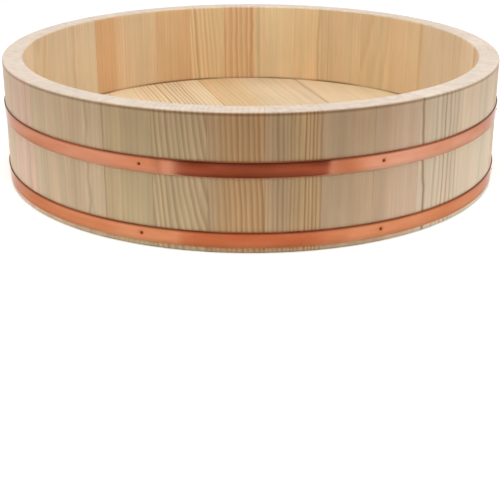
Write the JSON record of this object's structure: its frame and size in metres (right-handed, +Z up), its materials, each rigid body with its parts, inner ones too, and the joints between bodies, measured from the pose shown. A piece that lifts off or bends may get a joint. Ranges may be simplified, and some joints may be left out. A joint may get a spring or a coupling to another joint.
{
  "type": "sushi rice tub",
  "caption": "Round coopered wooden tub with an open top, a boarded floor let into the staves and tacked copper hoops, for cooling and mixing cooked rice.",
  "frame": {"origin": "middle of the foot, on the surface that the tub stands on", "axes": "+Z up along the tub's round axis, -Y towards the front of the picture, +X to its right"},
  "size_m": [0.3624, 0.3614, 0.089],
  "materials": {
    "stave_wood": "bare softwood, planed and sanded, no varnish",
    "floor_wood": "bare softwood, planed and sanded, no varnish",
    "pin_bamboo": "bare split bamboo",
    "hoop_copper": "rolled copper strip, satin",
    "tack_metal": "darkened copper tack"
  },
  "bodies": {
    "root": {"stave_01": "stave_wood", "stave_02": "stave_wood", "stave_03": "stave_wood", "stave_04": "stave_wood", "stave_05": "stave_wood", "stave_06": "stave_wood", "stave_07": "stave_wood", "stave_08": "stave_wood", "stave_09": "stave_wood", "stave_10": "stave_wood", "stave_11": "stave_wood", "stave_12": "stave_wood", "stave_13": "stave_wood", "stave_14": "stave_wood", "stave_15": "stave_wood", "stave_16": "stave_wood", "stave_17": "stave_wood", "stave_18": "stave_wood", "stave_19": "stave_wood", "stave_20": "stave_wood", "stave_21": "stave_wood", "stave_22": "stave_wood", "stave_23": "stave_wood", "stave_24": "stave_wood", "stave_25": "stave_wood", "stave_26": "stave_wood", "stave_27": "stave_wood", "stave_28": "stave_wood", "stave_29": "stave_wood", "stave_30": "stave_wood", "stave_31": "stave_wood", "stave_32": "stave_wood", "stave_33": "stave_wood", "floor_board_1": "floor_wood", "floor_board_2": "floor_wood", "floor_board_3": "floor_wood", "floor_board_4": "floor_wood", "floor_pin_1": "pin_bamboo", "floor_pin_2": "pin_bamboo", "floor_pin_3": "pin_bamboo", "floor_pin_4": "pin_bamboo", "floor_pin_5": "pin_bamboo", "floor_pin_6": "pin_bamboo", "hoop_upper": "hoop_copper", "hoop_lower": "hoop_copper", "tack_upper_1": "tack_metal", "tack_upper_2": "tack_metal", "tack_upper_3": "tack_metal", "tack_upper_4": "tack_metal", "tack_upper_5": "tack_metal", "tack_upper_6": "tack_metal", "tack_upper_7": "tack_metal", "tack_lower_1": "tack_metal", "tack_lower_2": "tack_metal", "tack_lower_3": "tack_metal", "tack_lower_4": "tack_metal", "tack_lower_5": "tack_metal", "tack_lower_6": "tack_metal", "tack_lower_7": "tack_metal"}
  },
  "joints": []
}
